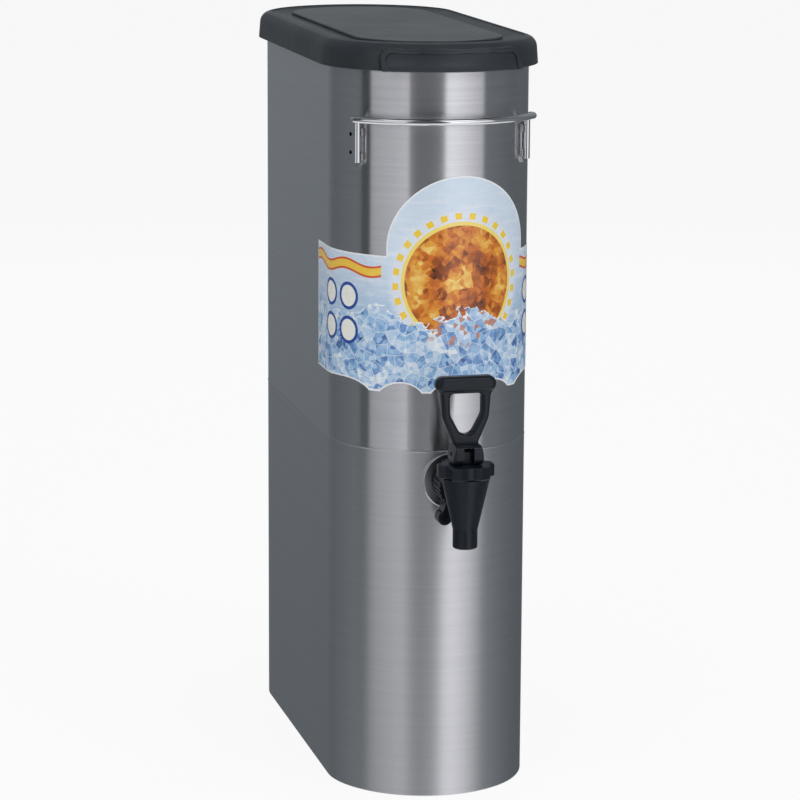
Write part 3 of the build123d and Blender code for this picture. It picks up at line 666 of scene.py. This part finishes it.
# Upright columns of the film, closer together where its outline turns quickly
def filmColumns():
    dome = arcPlaces(film["domeAcross"], film["domeRadius"], film["domeSteps"])
    halfBite = sqrt(film["scallop"] ** 2 - (film["low"] - film["scallopMiddle"]) ** 2)
    across = list(dome)
    for bite in range(-film["sideBites"], film["sideBites"] + 1):
        for x in arcPlaces(2 * bite * film["scallop"], halfBite, film["biteSteps"]):
            inside = abs(x) < plan["halfWidth"] - film["leastColumn"]
            if inside and min(abs(x - other) for other in dome) > film["leastColumn"]:
                across.append(x)
    columns = [(alongFrom(x), x, dome[0] <= x <= dome[-1]) for x in sorted(across)]
    sideLength = plan["halfSide"] - film["backY"]
    for step in range(film["sideSteps"] + 1):
        reach = noseArc + cornerArc + sideLength * step / film["sideSteps"]
        columns += [(reach, plan["halfWidth"], False), (-reach, -plan["halfWidth"], False)]
    return sorted(columns)


# A column's points from the lower edge up, with more of them where the dome stands on the band
def columnHeights(x, inDome):
    foot = filmFoot(x)
    heights = [foot + (film["high"] - foot) * step / film["rows"] for step in range(film["rows"] + 1)]
    if inDome:
        rise = filmTop(x) - film["high"]
        for step in range(film["domeRows"]):
            heights.append(film["high"] + rise * (step + 1) / film["domeRows"])
    return heights


# How far each spot is from the film's nearest edge, which the white border takes
def gapsToEdge(rim, spots):
    edgeTree = kdtree.KDTree(len(rim) * film["gapSteps"])
    for number, edge in enumerate(rim):
        ends = [Vector((*spots[vert.index], 0)) for vert in edge.verts]
        for step in range(film["gapSteps"]):
            spot = ends[0].lerp(ends[1], step / (film["gapSteps"] - 1))
            edgeTree.insert(spot, number * film["gapSteps"] + step)
    edgeTree.balance()
    return [edgeTree.find((along, height, 0))[2] for along, height in spots]


# Gives the film its thickness: a back against the tank and a sharp side all the way round
def addBack(mesh, rim, spots):
    outerFaces = list(mesh.faces)
    inner = [mesh.verts.new(planPoint(along, height, film["inner"])) for along, height in spots]
    for face in outerFaces:
        mesh.faces.new([inner[vert.index] for vert in reversed(face.verts)])
    for edge in rim:
        first, second = edge.verts
        side = mesh.faces.new((first, second, inner[second.index], inner[first.index]))
        for other in side.edges:
            other.smooth = False


def makeFilm():
    mesh = bmesh.new()
    spots = []
    rows = []
    for along, x, inDome in filmColumns():
        heights = columnHeights(x, inDome)
        rows.append([mesh.verts.new(planPoint(along, height, film["outer"])) for height in heights])
        spots += [(along, height) for height in heights]
    for first, second in zip(rows, rows[1:]):
        for low in range(min(len(first), len(second)) - 1):
            mesh.faces.new((first[low], second[low], second[low + 1], first[low + 1]))
    mesh.verts.index_update()
    rim = [edge for edge in mesh.edges if len(edge.link_faces) == 1]
    gaps = gapsToEdge(rim, spots)
    addBack(mesh, rim, spots)
    piece = finishMesh("printedFilm", mesh, makePrintedFilm())
    layer = piece.data.uv_layers.new(name="print")
    for loop in piece.data.loops:
        along, height = spots[loop.vertex_index % len(spots)]
        layer.data[loop.index].uv = (along * sheet["perMetre"], (height - sheet["foot"]) * sheet["perMetre"])
    gapField = piece.data.attributes.new("edgeGap", "FLOAT", "POINT")
    gapField.data.foreach_set("value", gaps + gaps)
    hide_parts("front_decal")


makeFilm()
print("printed film made")

weld = {"length": 0.0062, "spread": 0.0088, "radius": 0.0008, "ripple": 0.00022, "pitch": 0.0011,
        "endPower": 6, "endLeast": 0.0004, "steps": 48, "around": 10}


# One upright bead: ripples along it, and rounded ends
def addWeldBead(mesh, middle):
    spins = [2 * pi * part / weld["around"] for part in range(weld["around"])]
    rings = []
    for step in range(weld["steps"] + 1):
        share = 2 * step / weld["steps"] - 1
        height = share * weld["length"] / 2
        swell = weld["radius"] + weld["ripple"] * abs(sin(pi * height / weld["pitch"]))
        swell *= sqrt(max(1 - share ** weld["endPower"], weld["endLeast"]))
        rings.append([middle + Vector((swell * cos(spin), swell * sin(spin), height)) for spin in spins])
    rows = bridgeRings(mesh, rings, closed=False)
    mesh.faces.new(rows[0])
    mesh.faces.new(rows[-1])


# Two beads on each side of each leg of the wire, near the ends of its plate
def makeLegWelds():
    mesh = bmesh.new()
    for side in (-1, 1):
        for hand in (-1, 1):
            turn = side * (leg["turn"] + hand * leg["wireRadius"] / plateReach)
            for end in (-1, 1):
                addWeldBead(mesh, Vector((plateReach * sin(turn), tankMiddle - noseY - plateReach * cos(turn),
                                          plateHeight + end * weld["spread"])))
    finishMesh("legWelds", mesh, materials["weld"])


makeLegWelds()
print("welds on the wire's legs made")


# Camera at the photograph's place, measured from the middle of the tank
def makeCamera():
    camera = {"place": (-0.588, -2.383, 0.761), "yaw": 14.02, "pitch": 11.47, "roll": 0.32,
              "lens": 145.6, "sensor": 36.0, "farthest": 50.0}
    data = bpy.data.cameras.new("camera")
    data.lens = camera["lens"]
    data.sensor_width = camera["sensor"]
    data.clip_end = camera["farthest"]
    holder = bpy.data.objects.new("camera", data)
    turn = Matrix.Rotation(radians(-camera["yaw"]), 4, "Z")
    turn = turn @ Matrix.Rotation(radians(90 - camera["pitch"]), 4, "X")
    turn = turn @ Matrix.Rotation(radians(camera["roll"]), 4, "Z")
    place = Vector(camera["place"]) + Vector((0, tankMiddle, 0))
    holder.matrix_world = Matrix.Translation(place) @ turn
    bpy.context.scene.collection.objects.link(holder)
    bpy.context.scene.camera = holder


# Soft lamps: wide, well away from the object, and left out of its reflections.
# Each stands at a bearing in degrees to the right of the front, and glow is how bright its face is
def makeLamps():
    lamps = {
        "rightBox": {"from": 31.0, "away": 2.0, "high": 1.0, "size": (1.3, 1.9), "glow": 1.5},
        "leftBox": {"from": -53.0, "away": 2.0, "high": 1.0, "size": (1.3, 1.9), "glow": 1.1},
        "topBox": {"from": 0.0, "away": 0.2, "high": 2.4, "size": (1.8, 1.8), "glow": 1.3},
        "backBox": {"from": 165.0, "away": 2.2, "high": 1.4, "size": (1.6, 1.6), "glow": 0.7},
    }
    aim = Vector((0, 0, 0.3))
    for name, lamp in lamps.items():
        light = bpy.data.lights.new(name, "AREA")
        light.shape = "RECTANGLE"
        light.size, light.size_y = lamp["size"]
        light.energy = lamp["glow"] * pi * light.size * light.size_y
        holder = bpy.data.objects.new(name, light)
        bearing = radians(lamp["from"])
        holder.location = (lamp["away"] * sin(bearing), -lamp["away"] * cos(bearing), lamp["high"])
        holder.rotation_euler = (aim - holder.location).to_track_quat("-Z", "Y").to_euler()
        holder.visible_glossy = False
        bpy.context.scene.collection.objects.link(holder)


# The world: white where the camera or a reflection looks, a soft grey fill elsewhere
def makeWorld():
    studio = {"fill": (0.36, 0.37, 0.38, 1.0), "seen": (1.0, 1.0, 1.0, 1.0)}
    world = bpy.data.worlds.new("studio")
    bpy.context.scene.world = world
    tree = freshTree(world)
    path = addNode(tree, "LightPath").outputs
    seen = maths(tree, "MAXIMUM", path["Is Camera Ray"], path["Is Glossy Ray"])
    seen = maths(tree, "MAXIMUM", seen, path["Is Transmission Ray"])
    colour = mixColour(tree, seen, studio["fill"], studio["seen"])
    putOut(tree, addNode(tree, "Background", None, {"Color": colour, "Strength": 1.0}), "OutputWorld")


# A mesh of the studio's own, which isn't part of the object
def addStage(name, mesh, material):
    data = bpy.data.meshes.new(name)
    mesh.to_mesh(data)
    mesh.free()
    data.materials.append(material)
    piece = bpy.data.objects.new(name, data)
    bpy.context.scene.collection.objects.link(piece)
    return piece


# Pale floor: it looks white to the camera and keeps a soft shadow
def makeFloor():
    ground = {"half": 9, "drop": 0.0002, "pale": (0.92, 0.92, 0.92, 1.0), "white": (1.0, 1.0, 1.0, 1.0),
              "whiteShare": 0.9}
    mesh = bmesh.new()
    for x, y in ((-1, -1), (1, -1), (1, 1), (-1, 1)):
        mesh.verts.new((x * ground["half"], y * ground["half"], -ground["drop"]))
    mesh.faces.new(mesh.verts)
    material = bpy.data.materials.new("paleFloor")
    tree = freshTree(material)
    path = addNode(tree, "LightPath").outputs
    plain = addNode(tree, "BsdfDiffuse", None, {"Color": ground["pale"]})
    white = addNode(tree, "Emission", None, {"Color": ground["white"], "Strength": 1.0})
    share = maths(tree, "MULTIPLY", path["Is Camera Ray"], ground["whiteShare"])
    putOut(tree, addNode(tree, "MixShader", None, {0: share, 1: plain.outputs[0], 2: white.outputs[0]}))
    floor = addStage("floor", mesh, material)
    floor.visible_glossy = False


# The studio's flags and soft boxes, as a tall ring that closes overhead and that only reflections see.
# A band is a bearing in degrees to the right of the front, and how bright the ring is there
ring = {
    "profile": [(5.0, -4.0), (5.0, 5.5), (3.8, 8.0), (2.0, 9.6), (0.02, 10.2)], "steps": 180,
    "highBands": [(-180, 0.20), (-166, 0.235), (-150, 0.18), (-135, 0.155), (-97, 0.225), (-91, 0.20),
                  (-89, 0.02), (-79, 0.02), (-77, 0.76), (-50, 0.86), (-33, 0.94), (-31, 0.13),
                  (-10, 0.08), (5, 0.10), (9, 1.36), (15, 1.42), (26, 1.3), (40, 1.08), (51, 0.98),
                  (54, 0.24), (75, 0.22), (105, 0.17), (140, 0.13), (152, 0.13), (157, 1.0),
                  (176, 1.0), (180, 0.20)],
    "lowBands": [(-180, 0.15), (-166, 0.165), (-150, 0.16), (-135, 0.19), (-97, 0.20), (-91, 0.18),
                 (-88, 0.24), (-79, 0.14), (-72, 0.24), (-50, 0.34), (-28, 0.68), (-25, 0.40),
                 (-12, 0.48), (0, 0.66), (6, 1.12), (12, 1.18), (24, 1.0), (36, 0.72), (44, 0.50),
                 (48, 0.26), (80, 0.24), (105, 0.18), (140, 0.13), (152, 0.13), (157, 1.0),
                 (176, 1.0), (180, 0.15)],
    "brightest": 1.45,
    "lowTo": -1.5, "highFrom": -0.1,    # heights where the low bands end and the high ones start
    "hoodLow": 2.4, "hoodHigh": 4.4, "hoodDrop": 2.6, "hoodFront": 0.45, "hoodBack": 0.28,
    "frontTo": -1.0, "backFrom": 2.0, "stripMiddle": 7.0, "stripHalf": 0.9, "stripFront": -0.5,
    "strip": 2.4, "cool": (0.91, 1.0, 1.07, 1.0), "warm": (1.0, 0.99, 1.03, 1.0),
    "coolTo": 0.15, "warmFrom": 0.6,
}


# How bright the ring is at each bearing; share runs from 0 to 1 once round
def bandLevel(tree, share, bands):
    curve = addNode(tree, "FloatCurve", None, {"Value": share, "Factor": 1.0})
    points = curve.mapping.curves[0].points
    while len(points) < len(bands):
        points.new(0.5, 0.5)
    for point, (bearing, level) in zip(points, bands):
        point.location = ((bearing + 180) / 360, level / ring["brightest"])
        point.handle_type = "VECTOR"
    curve.mapping.update()
    return maths(tree, "MULTIPLY", curve.outputs[0], ring["brightest"])


# Bands all round, a hood that dims them higher up, and a bright strip overhead in front
def makeFlagBands():
    material = bpy.data.materials.new("flagBands")
    tree = freshTree(material)
    x, y, z = apart(tree, objectPlace(tree))
    bearing = maths(tree, "ARCTAN2", x, maths(tree, "MULTIPLY", y, -1.0))
    share = maths(tree, "MULTIPLY_ADD", bearing, 0.5 / pi, 0.5)
    rise = softStep(tree, z, ring["lowTo"], ring["highFrom"])
    bands = mixValue(tree, rise, bandLevel(tree, share, ring["lowBands"]),
                     bandLevel(tree, share, ring["highBands"]))
    behind = softStep(tree, y, ring["frontTo"], ring["backFrom"])
    hood = mixValue(tree, behind, maths(tree, "MULTIPLY", bands, ring["hoodFront"]), ring["hoodBack"])
    raised = maths(tree, "MULTIPLY_ADD", behind, ring["hoodDrop"], z)
    level = mixValue(tree, softStep(tree, raised, ring["hoodLow"], ring["hoodHigh"]), bands, hood)
    strip = maths(tree, "MULTIPLY", maths(tree, "COMPARE", z, ring["stripMiddle"], ring["stripHalf"]),
                  maths(tree, "LESS_THAN", y, ring["stripFront"]))
    level = mixValue(tree, strip, level, maths(tree, "MULTIPLY", bands, ring["strip"]))
    warmth = softStep(tree, level, ring["coolTo"], ring["warmFrom"])
    tint = mixColour(tree, warmth, ring["cool"], ring["warm"])
    putOut(tree, addNode(tree, "Emission", None, {"Color": tint, "Strength": level}))
    return material


def makeReflectionRing():
    turns = [2 * pi * step / ring["steps"] for step in range(ring["steps"])]
    hoops = [[(radius * sin(turn), radius * cos(turn), height) for turn in turns]
             for radius, height in ring["profile"]]
    mesh = bmesh.new()
    bridgeRings(mesh, hoops, closed=False)
    flags = addStage("flags", mesh, makeFlagBands())
    for rays in ("camera", "diffuse", "transmission", "volume_scatter", "shadow"):
        setattr(flags, "visible_" + rays, False)


makeCamera()
makeLamps()
makeWorld()
makeFloor()
makeReflectionRing()
bpy.context.scene.view_settings.view_transform = "Standard"
print("camera, lamps, world, floor and reflection ring made")
